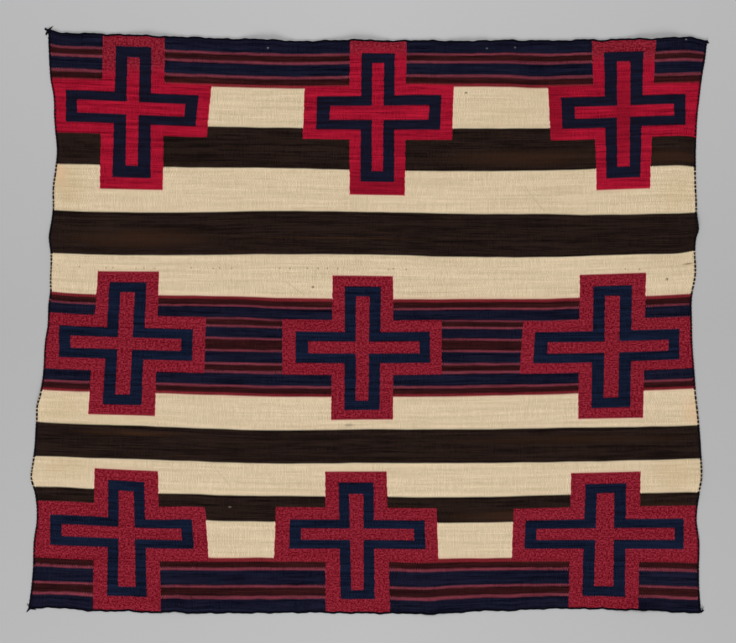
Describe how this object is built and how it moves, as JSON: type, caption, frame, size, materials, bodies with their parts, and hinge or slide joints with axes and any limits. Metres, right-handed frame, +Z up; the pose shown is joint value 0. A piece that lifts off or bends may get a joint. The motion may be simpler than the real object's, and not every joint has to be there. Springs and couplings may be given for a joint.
{
  "type": "chief blanket",
  "caption": "Hand-woven wool blanket lying flat, wider than long, with banded stripes, stepped crosses, edge cords and short corner tassels.",
  "frame": {"origin": "on the floor under the middle of the blanket's box", "axes": "+X along the wefts, across the longer side; +Y along the warps, towards the top edge; +Z up, out of the face"},
  "size_m": [1.7754, 1.5292, 0.0109],
  "materials": {
    "wool_cloth": "matte hand-spun wool, weft-faced",
    "edge_cord": "matte plied wool cord"
  },
  "bodies": {
    "root": {"blanket_cloth": "wool_cloth", "cord_left": "edge_cord", "cord_right": "edge_cord", "cord_top": "edge_cord", "cord_bottom": "edge_cord", "tassel_top_left": "edge_cord", "tassel_top_right": "edge_cord", "tassel_bottom_left": "edge_cord", "tassel_bottom_right": "edge_cord"}
  },
  "joints": []
}
